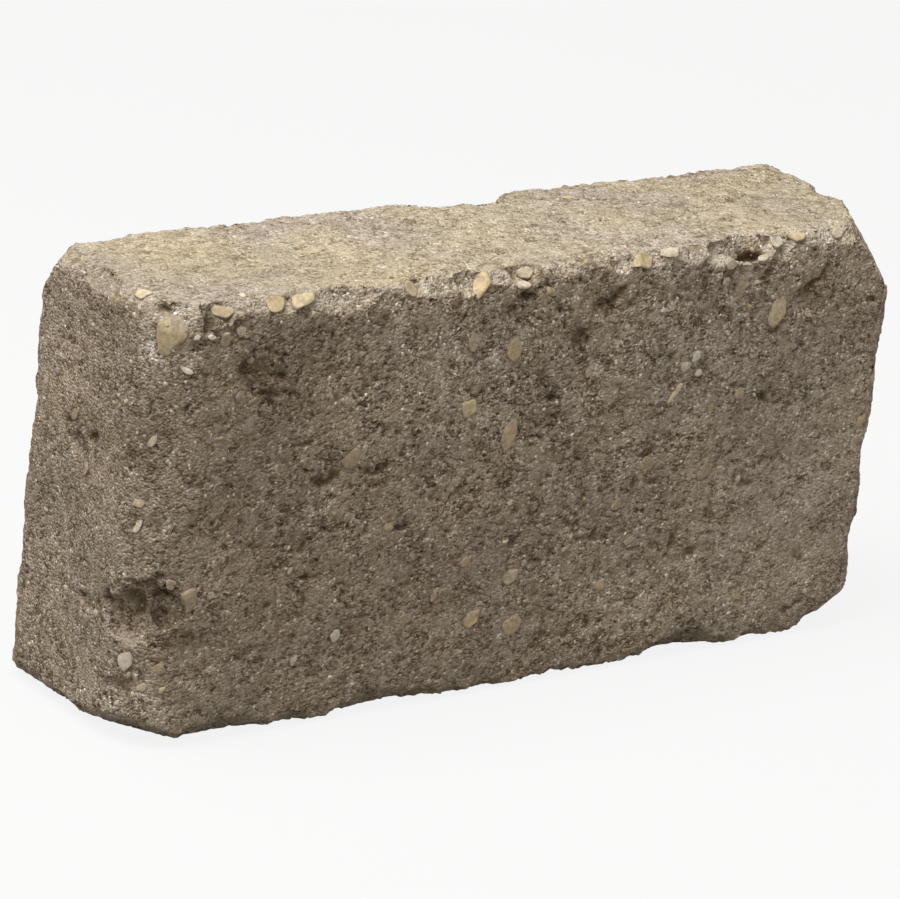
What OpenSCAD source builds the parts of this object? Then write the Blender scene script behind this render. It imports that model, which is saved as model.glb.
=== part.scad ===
// Tumbled garden wall block: one piece of dry-pressed concrete, moulded square and
// then rolled in a drum until its edges are rounded, scalloped and broken.
// It stands on its long narrow side, with its front towards -Y and its base on Z = 0.

/* [Block] */
// Length from end to end, before tumbling
block_length = 305; // [240:1:400]
// Height from base to top, as it stands
block_height = 150; // [120:1:190]
// Thickness from front to back
block_thickness = 77; // [60:1:110]

/* [Edges worn round] */
// How far the front and back edges of the top are worn back along each face
top_edge_wear = 4; // [2:0.5:8]
// How far the front and back edges of the base are worn back along each face
base_edge_wear = 3.5; // [2:0.5:8]
// The same for the upright edge between the front and the left end
front_left_wear = 18; // [6:1:22]
// The same for the upright edge between the front and the right end
front_right_wear = 7; // [3:0.5:10]
// The same for the two upright edges at the back
back_upright_wear = 6; // [3:0.5:12]
// The same for the top edge of the left end
left_top_wear = 6; // [3:0.5:12]
// The same for the top edge of the right end
right_top_wear = 4; // [3:0.5:12]
// The same for the bottom edge of the left end
left_base_wear = 7; // [3:0.5:12]
// The same for the bottom edge of the right end
right_base_wear = 14; // [8:1:22]

/* [Scallops] */
// Average distance from one small scallop to the next along an edge
scallop_pitch = 27; // [24:1:60]
// Length of the shortest scallop
scallop_short = 12; // [8:1:16]
// Length of the longest scallop
scallop_long = 20; // [16:1:30]
// Least depth of a scallop, from the line of the square edge
scallop_shallow = 2.5; // [2:0.25:3.5]
// Greatest depth of a scallop, from the line of the square edge
scallop_deep = 4.5; // [3.5:0.25:6]
// Which of many tumbled blocks this one is
tumble_seed = 41; // [1:1:200]

/* [Uneven faces] */
// Distance from one shallow dip to the next, on every face but the base
dip_pitch = 50; // [45:1:90]
// Width of the narrowest dip
dip_narrow = 24; // [16:1:34]
// Width of the widest dip
dip_wide = 40; // [34:1:60]
// Depth of a dip below the moulded face
dip_depth = 1; // [0.4:0.1:1.5]

/* [Hidden] */

HALF = [block_length, block_thickness, block_height] / 2;
CENTRE = [0, 0, block_height / 2];
AXES = [[1, 0, 0], [0, 1, 0], [0, 0, 1]];
// How much flatter than a fillet a worn edge is
FLATTER = 1.3;
// Cutting solids reach this far outside the block
CLEAR = block_length;
// A dip strays from its place in the row by up to this share of the distance
STRAY = 0.22;

// An edge is named by the two faces that meet there: the sign of each face's axis,
// and 0 for the axis that the edge runs along.
TOP_FRONT = [0, -1, 1];
TOP_BACK = [0, 1, 1];
BASE_FRONT = [0, -1, -1];
BASE_BACK = [0, 1, -1];
TOP_LEFT = [-1, 0, 1];
TOP_RIGHT = [1, 0, 1];
BASE_LEFT = [-1, 0, -1];
BASE_RIGHT = [1, 0, -1];
FRONT_LEFT = [-1, -1, 0];
FRONT_RIGHT = [1, -1, 0];
BACK_LEFT = [-1, 1, 0];
BACK_RIGHT = [1, 1, 0];
// All faces but the base, which the block stands on
UNEVEN = [[0, -1, 0], [0, 1, 0], [-1, 0, 0], [1, 0, 0], [0, 0, 1]];
EDGES = [TOP_FRONT, TOP_BACK, BASE_FRONT, BASE_BACK, TOP_LEFT, TOP_RIGHT,
         BASE_LEFT, BASE_RIGHT, FRONT_LEFT, FRONT_RIGHT, BACK_LEFT, BACK_RIGHT];

// Flakes broken off the edges, each [edge, place, length, depth, lean]. Place runs
// from -1 to 1 along the edge, length and depth are in mm from the square edge, and
// lean turns the flake, in degrees, from the first named face towards the second.
FLAKES = [
    [TOP_FRONT, -0.85, 24, 5.5, -5],
    [TOP_FRONT, -0.70, 18, 4, 0],
    [TOP_FRONT, -0.55, 32, 5.5, -10],
    [TOP_FRONT, -0.30, 20, 5, -5],
    [TOP_FRONT, -0.22, 14, 6.5, -14],
    [TOP_FRONT, -0.08, 22, 5, 5],
    [TOP_FRONT, 0.18, 20, 3.5, -5],
    [TOP_FRONT, 0.27, 14, 4.5, 0],
    [TOP_FRONT, 0.38, 18, 4, -5],
    [TOP_FRONT, 0.47, 16, 5.5, -14],
    [TOP_FRONT, 0.54, 22, 7.5, 8],
    [TOP_FRONT, 0.57, 16, 7, -16],
    [TOP_FRONT, 0.64, 14, 4.5, 0],
    [TOP_FRONT, 0.83, 20, 4.5, 0],
    [TOP_BACK, -0.88, 36, 5.5, 0],
    [TOP_BACK, 0.02, 24, 11, 0],
    [TOP_BACK, 0.12, 28, 12, 0],
    [TOP_BACK, 0.62, 44, 4, 0],
    [BASE_FRONT, -0.76, 50, 5.5, 0],
    [BASE_FRONT, -0.33, 60, 5, 0],
    [BASE_FRONT, 0.49, 38, 7.5, 0],
    [BASE_BACK, -0.50, 44, 6, 0],
    [BASE_BACK, 0.10, 40, 5, 10],
    [BASE_BACK, 0.55, 30, 8, -10],
    [TOP_LEFT, 0.10, 30, 5, 0],
    [BASE_LEFT, 0.10, 26, 5, 0],
    [TOP_RIGHT, 0.02, 24, 7, 0],
    [BASE_RIGHT, 0.20, 30, 6, 0],
    [FRONT_RIGHT, 0.30, 26, 4.5, 0],
    [FRONT_RIGHT, -0.15, 32, 5.5, 0],
    [FRONT_RIGHT, -0.58, 30, 5.5, 0],
    [BACK_LEFT, 0.16, 50, 4.5, 0],
    [BACK_LEFT, -0.40, 34, 4.5, 0],
    [BACK_RIGHT, -0.30, 38, 7, 0],
    [BACK_RIGHT, 0.35, 30, 6, 0],
];

// Corners knocked off flat, each [corner, how far the flat runs along X, Y and Z].
KNOCKS = [
    [[1, -1, 1], [25, 37, 30]],
    [[-1, -1, 1], [20, 20, 24]],
    [[-1, 1, 1], [19, 14, 24]],
    [[1, 1, 1], [11, 9, 14]],
    [[1, -1, -1], [30, 28, 17]],
    [[-1, -1, -1], [26, 44, 15]],
    [[-1, 1, -1], [10, 10, 8]],
    [[1, 1, -1], [20, 14, 18]],
];

// Sockets in the worn front left edge, each [place, lean, width, depth].
SOCKETS = [
    [-0.42, -14, 17, 5],
    [-0.36, 20, 12, 4],
];

// Holes where a stone fell out of a face, each [face, place, width, depth]. Place is
// from -1 to 1 along the face's two other axes, in X, Y, Z order.
PITS = [
    [[-1, 0, 0], [-0.18, -0.44], 6, 2],
    [[-1, 0, 0], [0.16, 0.22], 7, 2],
    [[0, -1, 0], [0.72, 0.68], 12, 3],
    [[0, -1, 0], [-0.11, 0.80], 9, 2.5],
    [[0, -1, 0], [-0.76, 0.66], 14, 2.5],
    [[0, -1, 0], [0.14, 0.76], 8, 2.5],
    [[0, 1, 0], [0.30, -0.20], 10, 3],
    [[0, 1, 0], [-0.46, 0.35], 8, 2],
    [[1, 0, 0], [0.20, 0.15], 9, 2.5],
    [[0, 0, -1], [0.35, 0.10], 8, 2],
];

function unit(v) = v / norm(v);
function times(a, b) = [a[0] * b[0], a[1] * b[1], a[2] * b[2]];
// The two axes, or the one axis, along which a name has no 0 and has a 0
function used(name) = [for (i = [0:2]) if (name[i] != 0) i];
function free(name) = [for (i = [0:2]) if (name[i] == 0) i];
// Radius of the ball that leaves a dish of this width and depth
function dish_r(width, depth) = (width * width / 4 + depth * depth) / (2 * depth);
// Radius of the arc that takes an edge back by this much along each face
function worn_r(wear) = wear * norm([FLATTER, FLATTER - 1]);
// Direction that leads straight out of an edge, turned by lean
function way_out(edge, lean) =
    let (u = used(edge))
    edge[u[0]] * AXES[u[0]] * cos(45 + lean) + edge[u[1]] * AXES[u[1]] * sin(45 + lean);

// A rectangle whose corners are worn back by their own amounts, in the order left
// bottom, right bottom, right top, left top. Each corner is an arc a little flatter
// than a fillet, so it meets both sides at a slight angle, as worn concrete does.
module worn_rectangle(size, wear) {
    signs = [[-1, -1], [1, -1], [1, 1], [-1, 1]];
    difference() {
        square(size, center = true);
        for (i = [0:3])
            translate([signs[i][0] * size[0] / 2, signs[i][1] * size[1] / 2])
                difference() {
                    square(2 * FLATTER * wear[i], center = true);
                    translate(-FLATTER * wear[i] * signs[i])
                        circle(r = worn_r(wear[i]), $fn = 72);
                }
    }
}

// The moulded block with its twelve edges worn: three prisms that cross
module worn_blank() {
    intersection() {
        translate(CENTRE)
            rotate([90, 0, 0])
                linear_extrude(block_thickness, center = true)
                    worn_rectangle([block_length, block_height],
                                   [left_base_wear, right_base_wear,
                                    right_top_wear, left_top_wear]);
        linear_extrude(block_height)
            worn_rectangle([block_length, block_thickness],
                           [front_left_wear, front_right_wear,
                            back_upright_wear, back_upright_wear]);
        translate(CENTRE)
            rotate([90, 0, 90])
                linear_extrude(block_length, center = true)
                    worn_rectangle([block_thickness, block_height],
                                   [base_edge_wear, base_edge_wear,
                                    top_edge_wear, top_edge_wear]);
    }
}

// Cap of a ball that takes a round dish out of a surface at a point. The ball's poles
// are turned away along the surface, and only the part near the surface is kept.
module dish(at, out, width, depth) {
    r = dish_r(width, depth);
    translate(at)
        rotate([0, -asin(out[2]), atan2(out[1], out[0])])
            intersection() {
                translate([r - depth, 0, 0])
                    sphere(r, $fn = 96);
                cube([4 * depth, 2 * width, 2 * width], center = true);
            }
}

// Flake broken off an edge
module edge_flake(edge, place, length, depth, lean) {
    along = AXES[free(edge)[0]];
    dish(CENTRE + times(HALF, edge + place * along), way_out(edge, lean), length, depth);
}

// Row of small scallops along an edge, at uneven places and of uneven depth
module scalloped_edge(edge, seed) {
    run = 2 * HALF[free(edge)[0]];
    count = floor(run / scallop_pitch);
    shift = rands(-0.3, 0.3, count, seed);
    depth = rands(scallop_shallow, scallop_deep, count, seed + 100);
    length = rands(scallop_short, scallop_long, count, seed + 200);
    lean = rands(-15, 15, count, seed + 300);
    for (i = [0:count - 1])
        edge_flake(edge, 2 * (i + 0.5 + shift[i]) / count - 1, length[i], depth[i], lean[i]);
}

// Block of waste beyond the flat that a knock leaves on a corner
module corner_knock(corner, run) {
    away = unit([corner[0] / run[0], corner[1] / run[1], corner[2] / run[2]]);
    foot = CENTRE + times(HALF, corner) - [corner[0] * run[0], 0, 0];
    translate(foot)
        rotate([0, acos(away[2]), atan2(away[1], away[0])])
            translate([-CLEAR / 2, -CLEAR / 2, 0])
                cube(CLEAR);
}

// Hole in the rounded surface of an edge that has been worn back by a known amount
module edge_socket(edge, wear, place, lean, width, depth) {
    out = way_out(edge, lean);
    along = AXES[free(edge)[0]];
    at = CENTRE + times(HALF, edge + place * along) - FLATTER * wear * edge;
    dish(at + worn_r(wear) * out, out, width, depth);
}

// Hole where a stone fell out of a face
module face_pit(face, place, width, depth) {
    f = free(face);
    dish(CENTRE + times(HALF, face + place[0] * AXES[f[0]] + place[1] * AXES[f[1]]),
         face, width, depth);
}

// Shallow dips over a face, in rows that are a little out of line
module uneven_face(face, seed) {
    rows = [for (i = free(face)) max(1, floor(2 * HALF[i] / dip_pitch))];
    count = rows[0] * rows[1];
    stray = rands(0.5 - STRAY, 0.5 + STRAY, 2 * count, seed);
    width = rands(dip_narrow, dip_wide, count, seed + 100);
    for (k = [0:count - 1])
        face_pit(face, [2 * (floor(k / rows[1]) + stray[k]) / rows[0] - 1,
                        2 * (k % rows[1] + stray[k + count]) / rows[1] - 1],
                 width[k], dip_depth);
}

module block() {
    color([0.56, 0.51, 0.44])
        difference() {
            worn_blank();
            for (k = KNOCKS)
                corner_knock(k[0], k[1]);
            for (c = FLAKES)
                edge_flake(c[0], c[1], c[2], c[3], c[4]);
            for (i = [0:len(EDGES) - 1])
                scalloped_edge(EDGES[i], tumble_seed + i);
            for (h = SOCKETS)
                edge_socket(FRONT_LEFT, front_left_wear, h[0], h[1], h[2], h[3]);
            for (p = PITS)
                face_pit(p[0], p[1], p[2], p[3]);
            for (i = [0:len(UNEVEN) - 1])
                uneven_face(UNEVEN[i], tumble_seed + 40 + i);
        }
}

block();
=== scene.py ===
# %% [markdown]
# # A tumbled garden wall block
# The real thing is one casting of dry-pressed concrete. Damp mix is rammed into a
# steel mould and pushed out at once, so its faces are sandy and full of small pores.
# The hard block is then rolled in a drum, which rounds, scallops and chips its edges.
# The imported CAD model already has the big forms: worn edges, flakes, broken corners.
# This lesson adds what CAD is poor at: relief of a few millimetres, gravel, colour.

# %% Load the frame
import math
import random

import bmesh
import bpy
import numpy as np
from mathutils import Matrix, Vector, noise
from mathutils.bvhtree import BVHTree


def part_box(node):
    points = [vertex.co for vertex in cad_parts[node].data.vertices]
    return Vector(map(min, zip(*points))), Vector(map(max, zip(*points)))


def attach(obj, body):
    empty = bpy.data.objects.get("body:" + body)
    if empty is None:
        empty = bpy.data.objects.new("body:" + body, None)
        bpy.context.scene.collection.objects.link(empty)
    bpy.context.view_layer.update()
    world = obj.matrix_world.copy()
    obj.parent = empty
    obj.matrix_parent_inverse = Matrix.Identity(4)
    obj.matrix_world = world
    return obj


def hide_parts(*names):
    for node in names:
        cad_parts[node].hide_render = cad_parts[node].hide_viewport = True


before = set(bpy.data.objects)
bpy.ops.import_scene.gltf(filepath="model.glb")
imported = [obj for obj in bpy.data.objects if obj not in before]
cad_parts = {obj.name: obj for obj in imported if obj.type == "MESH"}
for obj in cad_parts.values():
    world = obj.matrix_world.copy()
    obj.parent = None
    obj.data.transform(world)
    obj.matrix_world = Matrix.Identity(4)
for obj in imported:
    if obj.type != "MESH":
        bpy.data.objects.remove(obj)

MM = 0.001
scene = bpy.context.scene
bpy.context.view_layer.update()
low, high = (Vector(corner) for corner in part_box("block"))
print("block, mm:", [round(side / MM, 1) for side in high - low])

# %% [markdown]
# ## Three small helpers
# Colours are written the way a paint chart gives them, as sRGB hex, and one function
# turns them to the linear numbers that Blender mixes. The next adds a node to any node
# tree, with its settings and its links, and hands back one output. Inputs are named or
# numbered: Map Range turns the range from 1 to 2 into the range from 3 to 4, each 0 to
# 1 unless given, and Mix takes numbers as 2 and 3, vectors as 4 and 5 and colours as
# 6 and 7. The last helper puts an object in the scene.

# %% Colours, nodes and objects


def srgb(code):
    """Linear RGBA of an sRGB hex colour."""
    channels = [int(code[i:i + 2], 16) / 255 for i in (1, 3, 5)]
    return (*(c / 12.92 if c < 0.04045 else ((c + 0.055) / 1.055) ** 2.4 for c in channels), 1.0)


def add(tree, kind, inputs=(), out=0, **settings):
    """Add a node, set it up, feed its inputs with values or links, return an output."""
    node = tree.nodes.new(kind)
    for name, value in settings.items():
        setattr(node, name, value)
    for key, value in dict(inputs).items():
        if isinstance(value, bpy.types.NodeSocket):
            tree.links.new(value, node.inputs[key])
        else:
            node.inputs[key].default_value = value
    return node.outputs[out] if len(node.outputs) else node


def show(name, data):
    """Put a new object that holds this data in the scene."""
    obj = bpy.data.objects.new(name, data)
    scene.collection.objects.link(obj)
    return obj


# %% [markdown]
# ## Camera
# A long lens far away keeps the block's edges nearly parallel, as in a catalogue
# picture. The camera is placed by where it aims, how far off it is, and three turns.
# Writing the turns one after the other shows what each does: swing, dip, roll.

# %% Camera
CAMERA_AIM = Vector((-4.3, 1.9, 71.9)) * MM
CAMERA_DISTANCE = 1681.5 * MM
CAMERA_SWING, CAMERA_DIP, CAMERA_ROLL = 38.22, 19.87, 6.54  # degrees

camera = show("camera", bpy.data.cameras.new("camera"))
bpy.context.scene.camera = camera
camera.data.lens = 200
camera.data.sensor_width = 36
turn = (Matrix.Rotation(-math.radians(CAMERA_SWING), 4, "Z")
        @ Matrix.Rotation(-math.radians(CAMERA_DIP), 4, "X")
        @ Matrix.Rotation(-math.radians(CAMERA_ROLL), 4, "Y")
        @ Matrix.Rotation(math.radians(90), 4, "X"))
camera.matrix_world = (Matrix.Translation(CAMERA_AIM) @ turn
                       @ Matrix.Translation((0, 0, CAMERA_DISTANCE)))
print("camera at, m:", [round(c, 3) for c in camera.matrix_world.translation])

# %% [markdown]
# ## Light, sky and floor
# One wide soft lamp hangs over the block, a little to the left, so the top is bright,
# the left end is half lit, and the front only catches what spills over its edge. That
# grazing light is what makes small relief show. The sky fills the shadows evenly, and
# a touch warmer than the lamp, as light does that has come back off walls and ground.
# The floor is near white where it is seen and a soft grey for every other ray, so it
# keeps the block's shadow but doesn't throw much light back up.

# %% Light, sky and floor
# Lengths in metres and power in watts
SKY_LEVEL = 0.45
LAMP_POWER = 13.0
LAMP_SIDE = 0.8
LAMP_AT = Vector((-0.46, -0.02, 1.12))
PAPER = srgb("#fdfdfd")
WARM_SKY = srgb("#fff8ee")
FLOOR_GLOW = 0.98
FLOOR_SHADE = srgb("#e8e8e8")
FLOOR_SHADE_SHARE = 0.10
FLOOR_BOUNCE = srgb("#898783")
FLOOR_HALF = 6.0

scene.view_settings.view_transform = "Standard"
lamp = show("soft_lamp", bpy.data.lights.new("soft_lamp", "AREA"))
lamp.data.energy = LAMP_POWER
lamp.data.size = LAMP_SIDE
lamp.location = LAMP_AT
lamp.rotation_euler = (Vector((0, 0, high.z)) - LAMP_AT).to_track_quat(
    "-Z", "Y").to_euler()


def seen_directly(tree):
    """1 on rays that show the backdrop: camera, mirror and clear-glass rays."""
    rays = add(tree, "ShaderNodeLightPath").node.outputs
    seen = rays["Is Camera Ray"]
    for kind in ("Is Glossy Ray", "Is Transmission Ray"):
        seen = add(tree, "ShaderNodeMath", {0: seen, 1: rays[kind]}, operation="MAXIMUM")
    return seen


scene.world = bpy.data.worlds.new("white_sky")
scene.world.use_nodes = True
sky = scene.world.node_tree
sky.nodes.clear()
shown_sky = seen_directly(sky)
sky_level = add(sky, "ShaderNodeMapRange", {0: shown_sky, 3: SKY_LEVEL})
sky_colour = add(sky, "ShaderNodeMix", {0: shown_sky, 6: WARM_SKY, 7: PAPER}, out=2,
                 data_type="RGBA")
add(sky, "ShaderNodeOutputWorld", {0: add(sky, "ShaderNodeBackground", {
    "Color": sky_colour, "Strength": sky_level})})


def new_material(name):
    """A material with an empty tree, and that tree."""
    material = bpy.data.materials.new(name)
    material.use_nodes = True
    material.node_tree.nodes.clear()
    return material, material.node_tree


paper, tree = new_material("white_paper_floor")
glow = add(tree, "ShaderNodeEmission", {"Color": PAPER, "Strength": FLOOR_GLOW})
matt = add(tree, "ShaderNodeBsdfDiffuse", {"Color": FLOOR_SHADE})
shown = add(tree, "ShaderNodeMixShader", {0: FLOOR_SHADE_SHARE, 1: glow, 2: matt})
dull = add(tree, "ShaderNodeBsdfDiffuse", {"Color": FLOOR_BOUNCE})
add(tree, "ShaderNodeOutputMaterial", {0: add(tree, "ShaderNodeMixShader", {
    0: seen_directly(tree), 1: dull, 2: shown})})

floor = show("floor", bpy.data.meshes.new("floor"))
floor.data.from_pydata([(x * FLOOR_HALF, y * FLOOR_HALF, 0)
                        for x, y in ((-1, -1), (1, -1), (1, 1), (-1, 1))], [], [(0, 1, 2, 3)])
floor.data.materials.append(paper)
print("lamp", LAMP_POWER, "W, sky", SKY_LEVEL)

# %% [markdown]
# ## The block's body
# The CAD solid is made of long thin triangles, which can't carry fine relief, and
# subdividing them would only make more of the same. A voxel remesh instead wraps the
# shape in an even grid of small squares, about one millimetre each. The CAD node itself
# is never touched: this is a merged copy of its mesh.

# %% An even skin over the CAD solid
VOXEL = 1.0 * MM
MERGED_WITHIN = 0.01 * MM


def finished(obj, name):
    """Plain mesh object of what obj's modifiers make, with obj itself removed."""
    graph = bpy.context.evaluated_depsgraph_get()
    mesh = bpy.data.meshes.new_from_object(obj.evaluated_get(graph),
                                           preserve_all_data_layers=True, depsgraph=graph)
    mesh.name = name
    bpy.data.objects.remove(obj)
    return show(name, mesh)


def shell_of(obj):
    """Search tree over an object's faces."""
    shape = bmesh.new()
    shape.from_mesh(obj.data)
    found = BVHTree.FromBMesh(shape)
    shape.free()
    return found


merged = bmesh.new()
merged.from_mesh(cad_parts["block"].data)
bmesh.ops.remove_doubles(merged, verts=merged.verts, dist=MERGED_WITHIN)
skin = show("merged_copy", bpy.data.meshes.new("merged_copy"))
merged.to_mesh(skin.data)
merged.free()
smooth_shell = shell_of(skin)
remesh = skin.modifiers.new("even_grid", "REMESH")
remesh.mode = "VOXEL"
remesh.voxel_size = VOXEL
skin = finished(skin, "even_skin")
print("even skin:", len(skin.data.polygons), "squares")

# %% [markdown]
# ## Where this block is rougher or darker
# Every block has its own accidents: a patch where the mix was too dry and stayed
# open, a crumbled end. They don't follow a rule, so they are listed as soft round
# spots, and stored on the skin's points for later steps. `open` makes the surface
# crumbly there, `calm` does the opposite where the mix was richer, low down and to
# the right, and `tone` makes it darker or paler: partly real stains, partly painted
# shade in cavities and painted light on rubble that faces up.

# %% Open and stained spots
# Each row: x, y, z and radius in mm, how open the texture is from -1 (calm) to 1
# (crumbly), and tone, which is darker below 0 and paler above it
SPOTS = [
    (110, -38, 50, 95, -0.8, 0),
    (-110, -38, 25, 50, -0.8, 0),
    (-30, -38, 25, 55, -0.7, 0),
    (-152, 0, 95, 100, -0.6, 0),
    (-111, -38, 126, 13, 0.5, -0.6),
    (-100, -38, 118, 26, 0.3, -0.25),
    (-100, -38, 110, 60, 0, -0.22),
    (110, -38, 70, 75, 0, 0.45),
    (110, -38, 30, 45, 0, 0.45),
    (-46, -38, 114, 34, 0, 0.55),
    (46, -38, 112, 42, 0, 0.35),
    (20, -38, 128, 22, 0, -0.15),
    (-15, -38, 126, 17, 0, 0.65),
    (-100, -38, 54, 26, 0, -0.45),
    (-44, -38, 44, 30, 0, -0.15),
    (-152, -16, 98, 13, 0, -0.3),
    (46, -38, 26, 30, 0, 0.45),
    (12, -38, 30, 16, 0, -0.3),
    (98, -38, 56, 24, 0, -0.25),
    (134, -38, 68, 34, 0, 0.28),
    (-152, -16, 140, 12, 0, -0.45),
    (-151, 4, 144, 12, 0.3, -0.45),
    (-110, -8, 150, 45, 0, -0.16),
    (-150, -24, 6, 22, 0, 0.6),
    (10, -8, 150, 40, 0, 0.12),
    # The crater rows: their darker tone is partly its brown colour and partly painted shade under
    # its overhang and in its pits.
    (-147, -28, 49, 8, 0, -0.15),
    (-142, -34, 53, 6, 0.2, -0.5),
    (-140, -34, 45, 7, 0.9, 0),
    (-138, -37, 38, 12, 0.6, -0.65),
    (-152, -19, 48, 5, 0.6, -0.7),
    (-149, -27, 21, 13, 0.8, 0.35),
    (-134, -36, 144, 6, 0.7, -0.9),
    (-126, -37, 141, 9, 0.8, 0.5),
    (-144, -26, 146, 6, 0.8, -0.7),
    (-138, -35, 135, 7, 0.7, 0.3),
    (-149, -26, 134, 6, 0.3, 1.4),
    (-143, -31, 147, 6, 0.4, 0.9),
    (-143, -34, 130, 5, 0.4, 0.8),
    (-152, 0, 100, 60, 0, -0.2),
    # The top right spall: painted shade in its cavity, and paler tone on the rubble and crust
    # round it, partly painted light.
    (86, -34, 144, 5, 0.6, -1.5),
    (86, -31, 150, 6, 0.8, 0.9),
    (80, -38, 138, 11, 1, 1.5),
    (72, -36, 145, 8, 1, 1.2),
    (102, -35, 147, 11, 1, 1.2),
    (123, -36, 146, 11, 0.5, 0.6),
    (23, -38, 135, 9, 0.5, -0.6),
    (-12, -38, 140, 7, 0.4, -0.7),
    (14, -38, 123, 8, 0.6, -0.5),
    (118, -37, 127, 10, 0.6, -0.5),
    (-148, -27, 141, 9, 0.2, 0.5),
    (-150, 4, 96, 12, 0.7, -0.4),
    (-148, -28, 100, 14, 0.8, -0.15),
    (70, -38, 100, 12, 0.6, 0.15),
    (100, -38, 92, 9, 0.5, -0.3),
    (60, -38, 38, 18, 0.5, -0.15),
    (-70, -38, 36, 9, 0.2, -0.3),
]
TONE_RANGE = (-1.0, 1.5)
SPOT_EDGE = 1.3  # a spot fades to nothing at this many times its radius


def point_places(mesh):
    """Where a mesh's points are, in metres, one row each."""
    numbers = np.empty(len(mesh.vertices) * 3)
    mesh.vertices.foreach_get("co", numbers)
    return numbers.reshape(-1, 3)


def store(mesh, **values):
    """Keep one number for each point of a mesh under each name."""
    for name, numbers in values.items():
        mesh.attributes.new(name, "FLOAT", "POINT").data.foreach_set("value", numbers)


places = point_places(skin.data) / MM
open_texture, calm, tone = (np.zeros(len(places)) for _ in range(3))
for x, y, z, radius, how_open, shade in SPOTS:
    reach = np.linalg.norm(places - (x, y, z), axis=1) / radius
    fade = np.clip(SPOT_EDGE - reach, 0, 1) ** 1.5
    open_texture = np.maximum(open_texture, how_open * fade)
    calm = np.maximum(calm, -how_open * fade)
    tone += shade * fade
store(skin.data, open=open_texture, calm=calm, tone=np.clip(tone, *TONE_RANGE))
print("spots:", len(SPOTS), "cover", int((open_texture > 0.1).sum()), "points")

# %% [markdown]
# ## Relief that follows a rule
# The rest of the relief does follow rules, so Geometry Nodes make it. Each rule is a
# pattern with a real size: scalloped chips about 8 mm wide along the edges, crumbs of
# about 3 mm where the surface is open, pores, and thin tears where the mix dragged on
# the mould. All of them push the skin inwards along its normal, because wear and
# pores only take material away. The amounts are kept as attributes for the colours.

# %% The relief tree
# Inputs of the tree, all in mm
RELIEF = {
    "Wear Reach": 11.0, "Chip Size": 8.0, "Chip Depth": 2.2,
    "Crumb Size": 2.7, "Crumb Depth": 1.35, "Rubble Size": 4.6, "Rubble Depth": 2.2,
    "Sway Size": 30.0, "Sway Depth": 0.5,
    "Pore Spacing": 5.0, "Pore Depth": 0.9, "Tear Length": 9.0, "Tear Depth": 1.2,
    "Grain Size": 2.0, "Grain Depth": 0.55,
}


def new_group(name, sockets):
    """Geometry group that takes these inputs after its mesh, and what it is given."""
    group = bpy.data.node_groups.new(name, "GeometryNodeTree")
    for socket, kind in {"Geometry": "Geometry", **sockets}.items():
        group.interface.new_socket(socket, in_out="INPUT", socket_type="NodeSocket" + kind)
    group.interface.new_socket("Geometry", in_out="OUTPUT", socket_type="NodeSocketGeometry")
    return group, group.nodes.new("NodeGroupInput").outputs


def per_mm(size):
    """How many of a pattern go into one millimetre."""
    return add(relief, "ShaderNodeMath", {0: 1.0, 1: size}, operation="DIVIDE")


def blotches(tree, where, size, low, high, least=0.0, most=1.0, soft=False, **texture):
    """Noise in blotches of one size in mm: least up to low, most from high onwards."""
    wave = add(tree, "ShaderNodeTexNoise", {"Vector": where, "Scale": 1 / size, **texture})
    return add(tree, "ShaderNodeMapRange", {0: wave, 1: low, 2: high, 3: least, 4: most},
               interpolation_type="SMOOTHSTEP" if soft else "LINEAR")


relief, given = new_group("tumbled_relief", {
    **dict.fromkeys(RELIEF, "Float"), "Half Size": "Vector", "Centre": "Vector"})
where = add(relief, "ShaderNodeVectorMath", operation="SCALE", inputs={
    0: add(relief, "GeometryNodeInputPosition"), "Scale": 1 / MM})
normal = add(relief, "GeometryNodeInputNormal")
is_open, is_calm = (add(relief, "GeometryNodeInputNamedAttribute", {"Name": name})
                    for name in ("open", "calm"))

# %% Distance to the nearest edge
# The nearest face is close everywhere on the skin, but only near an edge is the
# second nearest close as well, so the middle one of three distances measures it.
# Noise moves it in and out, so that the worn band has no straight border.
EDGE_WANDER = 9.0  # mm, both how far it moves and how wide the noise is

from_centre = add(relief, "ShaderNodeVectorMath", operation="ABSOLUTE", inputs={
    0: add(relief, "ShaderNodeVectorMath", operation="SUBTRACT", inputs={
        0: where, 1: given["Centre"]})})
to_faces = add(relief, "ShaderNodeSeparateXYZ", {
    0: add(relief, "ShaderNodeVectorMath", operation="SUBTRACT", inputs={
        0: given["Half Size"], 1: from_centre})}).node.outputs
lesser, greater = (add(relief, "ShaderNodeMath", {0: to_faces[0], 1: to_faces[1]},
                       operation=choice) for choice in ("MINIMUM", "MAXIMUM"))
middle = add(relief, "ShaderNodeMath", operation="MAXIMUM", inputs={
    0: lesser, 1: add(relief, "ShaderNodeMath", {0: greater, 1: to_faces[2]},
                      operation="MINIMUM")})
wander = add(relief, "ShaderNodeTexNoise", {"Vector": where, "Scale": 1 / EDGE_WANDER})
edge_distance = add(relief, "ShaderNodeMath", operation="MULTIPLY_ADD", inputs={
    0: wander, 1: -EDGE_WANDER, 2: add(relief, "ShaderNodeMath", {
        0: middle, 1: EDGE_WANDER / 2}, operation="ADD")})
worn = add(relief, "ShaderNodeMapRange", interpolation_type="SMOOTHSTEP", inputs={
    0: edge_distance, 1: 0.5, 2: given["Wear Reach"], 3: 1.0, 4: 0.0})
print("wear reaches", RELIEF["Wear Reach"], "mm from an edge")

# %% Chips, crumbs, rubble and pores
# Each starts from cells of its own size. How far a point is from the middle of its
# cell shapes the bowl or the gap there, and a number that each cell draws makes some
# chips and pores deeper than others. A warp first bends the cells, as none is round.
WARP_SIZE, WARP_REACH = 5.0, 3.0  # mm
CRUMB_PATCH = 13.0  # mm

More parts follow.
